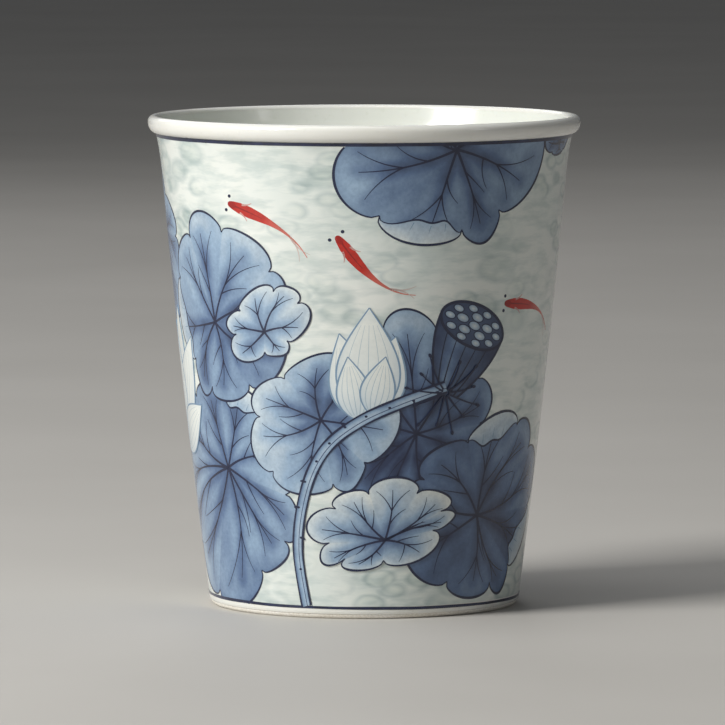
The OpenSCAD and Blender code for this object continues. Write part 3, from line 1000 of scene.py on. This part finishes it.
def make_pod():
    """The seed pod: a ribbed cone, and a disc of seeds on its end."""
    art = Painting("seed_pod")
    up = np.linspace(0, 1, POD_ROWS)
    width = POD_BASE_W / 2 + (POD_TOP_W - POD_BASE_W) / 2 * np.sin(math.pi / 2 * up)
    across = np.linspace(-1, 1, 29)
    grid = on_pod(width[:, None] * across, POD_LEN * up[:, None])
    dark = 0.88 + 0.10 * np.abs(across) ** 2 - 0.18 * np.exp(-((across + 0.35) / 0.3) ** 2)
    dark = dark + 0.1 * (up[:, None] - 0.5) + 0.05 * cloud(grid, 2, 4)
    art.film(grid, wash(dark))
    for share in (-0.66, -0.33, 0.0, 0.33, 0.66):
        art.stroke(on_pod(width * share, POD_LEN * up), np.linspace(0.3, 0.12, POD_ROWS), INK * 0.8)
    for share in (-1, 1):
        art.stroke(on_pod(width * share, POD_LEN * up), 0.42, INK, above=2)

    around = np.arange(POD_DISC_STEPS) * 2 * math.pi / POD_DISC_STEPS
    reach = np.linspace(0.08, 1, 12)[:, None]
    disc = on_disc(reach, around)
    art.film(disc, wash(0.86 + 0.10 * reach), above=3, wrap=True, centre=(on_disc(0, 0), tone(0.86)))
    art.stroke(np.concatenate([disc[-1], disc[-1][:2]]), 0.5, INK, above=5)
    for share, start, count in SEED_RINGS:
        half = np.array([0.92, 0.52]) if share > 0.6 else np.array([1.15, 0.64])
        for k in range(count):
            spot = on_disc(share, math.radians(start + 360 * k / count))
            art.dot(spot, half + (0.2, 0.17), INK, above=6, turn=POD_TILT)
            art.dot(spot, half, (tone(0.12), tone(0.5)), above=7, turn=POD_TILT)
    art.done(PAINT)


def make_stamens():
    """Stamens that fan out from below the pod, each with its anther."""
    art = Painting("pod_stamens")
    for k in range(STAMEN_COUNT):
        share = 2 * k / (STAMEN_COUNT - 1) - 1
        length = STAMEN_LEN * (1 + 0.12 * (-1) ** k)
        t = np.linspace(0.1, 1, STAMEN_STEPS)
        way = np.radians(-90 + STAMEN_SPREAD * share + STAMEN_BEND * share * t)
        path = flat(POD_AT) + length * t[:, None] * np.stack([np.cos(way), np.sin(way)], axis=1)
        art.stroke(path, np.linspace(0.34, 0.16, STAMEN_STEPS), INK)
        art.dot(path[-1], (0.42, 0.26), INK, above=2, turn=math.degrees(way[-1]))
    art.done(PAINT)


def fish_path(head, angle, bend):
    """The line of a fish from its head to the end of its tail, and the share of the way at each point."""
    steps = len(FISH_SHAPE) - 1
    path = [flat(head)]
    for k in range(steps):
        way = math.radians(angle + 180 + bend * (k / steps) ** 2)
        path.append(path[-1] + (FISH_LEN + TAIL_LEN) / steps * np.array([math.cos(way), math.sin(way)]))
    path = smooth(path, FISH_STEPS)
    return path, np.linspace(0, 1, len(path))


def make_fish():
    """Red fish, painted in one stroke each, with fins, wisps beside the tail and eyes that stand out."""
    art = Painting("red_fish")
    eyes = Painting("fish_eyes")
    for head, angle, bend in FISH:
        path, share = fish_path(head, angle, bend)
        width = FISH_W * np.interp(share, np.linspace(0, 1, len(FISH_SHAPE)), FISH_SHAPE)
        fade = FADE * np.clip((share - FADE_FROM) / (1 - FADE_FROM), 0, 1)[:, None] ** 0.8
        width *= np.minimum(1, share * 30 + 0.3)
        art.stroke(path, width, RED * (1 - fade) + PALE_RED * fade, columns=7)
        art.dot(path[2], (FISH_W * 0.42, FISH_W * 0.3), HEAD_RED, above=2, turn=angle)
        art.stroke(path[3:20], np.linspace(0.3, 0.1, 17), BACK_RED, above=2)
        tail_way = math.degrees(math.atan2(*(path[-1] - path[-8])[::-1]))
        for side in (-1, 1):
            root = path[7] + turned([0, side * FISH_W * 0.38], angle)
            fin = curve(root, root + turned([-1.7, side * 0.9], angle), 0.1 * side)
            art.stroke(fin, np.linspace(0.4, 0.08, len(fin)), RED * 0.6 + GROUND * 0.4)
            root = path[-14]
            wisp = curve(root, root + turned([TAIL_LEN * 0.55, side * 1.1], tail_way), -0.1 * side)
            art.stroke(wisp, np.linspace(0.35, 0.06, len(wisp)), RED * 0.35 + GROUND * 0.65)
            eyes.dot(flat(head) + turned([0.3, side * EYE_OUT], angle), (EYE_R, EYE_R), INK)
    art.done(PAINT)
    eyes.done(PAINT)


make_leaves()
paint_petals("lotus_flower", FLOWER)
paint_petals("lotus_bud", BUD)
paint_petals("back_bud", BACK_BUD)
paint_stem("lotus_stem", STEM)
paint_stem("back_stem", BACK_STEM)
make_pod()
make_stamens()
make_fish()


# ---------------------------------------------------------------- floor, light and camera

# The floor's half width in metres
FLOOR_HALF = 8
# Lamps: place and panel in metres, watts and colour
LAMPS = {
    "key": ((-0.92, -0.60, 0.72), (0.5, 0.7), 18, (1, 0.985, 0.95)),
    "fill": ((1.0, -0.5, 0.35), (0.12, 0.5), 0.35, (1, 1, 1)),
    "back": ((-0.3, 1.0, 0.7), (0.8, 0.6), 1.6, (1, 1, 1)),
    "above": ((-0.15, -0.05, 1.0), (0.5, 0.5), 1.7, (1, 1, 1)),
}
# The light from all round
SURROUND = (0.93, 0.96, 1.0)
SURROUND_STRENGTH = 0.09
# The camera: its place in metres, how far it looks down, its film's width and its lens in millimetres
CAMERA_AT = (-0.0003, -1.3536, 0.15387)
CAMERA_DIP = 4.71
FILM_W = 36
LENS = 383.1


def make_floor():
    """A plain pale floor, far larger than the view."""
    corners = [(x * FLOOR_HALF, y * FLOOR_HALF, 0) for x, y in ((-1, -1), (1, -1), (1, 1), (-1, 1))]
    floor = new_object("floor", corners, [(0, 1, 2, 3)])
    material, tree, shader = nodes_of("pale_floor")
    patches = noise(tree, object_place(tree), 9, 3)
    colour = ramp(tree, patches, [(0.3, srgb(194, 191, 186)), (0.7, srgb(200, 197, 192))])
    tree.links.new(colour, shader.inputs["Base Color"])
    shader.inputs["Roughness"].default_value = 0.6
    floor.data.materials.append(material)


def area_light(name, place, size, power, colour):
    """A lit panel that faces the cup's middle."""
    data = bpy.data.lights.new(name, "AREA")
    data.shape = "RECTANGLE"
    data.size, data.size_y = size
    data.energy = power
    data.color = colour
    lamp = bpy.data.objects.new(name, data)
    bpy.context.scene.collection.objects.link(lamp)
    lamp.location = place
    aim = np.array([0, 0, CUP_H * MM / 2]) - np.array(place)
    dip = math.acos(-aim[2] / np.linalg.norm(aim))
    lamp.rotation_euler = (dip, 0, math.atan2(aim[1], aim[0]) - math.pi / 2)


def make_light():
    """A large soft light from the left, weak ones from the right, behind and above, and a pale surround."""
    for name, lamp in LAMPS.items():
        area_light(name, *lamp)
    world = bpy.data.worlds.new("surround")
    world.use_nodes = True
    background = world.node_tree.nodes["Background"]
    background.inputs["Color"].default_value = (*SURROUND, 1)
    background.inputs["Strength"].default_value = SURROUND_STRENGTH
    bpy.context.scene.world = world
    bpy.context.scene.view_settings.view_transform = "Standard"


def make_camera():
    """The camera, in front of the cup and a little above it, which sees as far as the floor reaches."""
    data = bpy.data.cameras.new("camera")
    data.sensor_width = FILM_W
    data.lens = LENS
    data.clip_end = 50
    camera = bpy.data.objects.new("camera", data)
    bpy.context.scene.collection.objects.link(camera)
    camera.location = CAMERA_AT
    camera.rotation_euler = (math.radians(90 - CAMERA_DIP), 0, 0)
    bpy.context.scene.camera = camera


make_floor()
make_light()
make_camera()
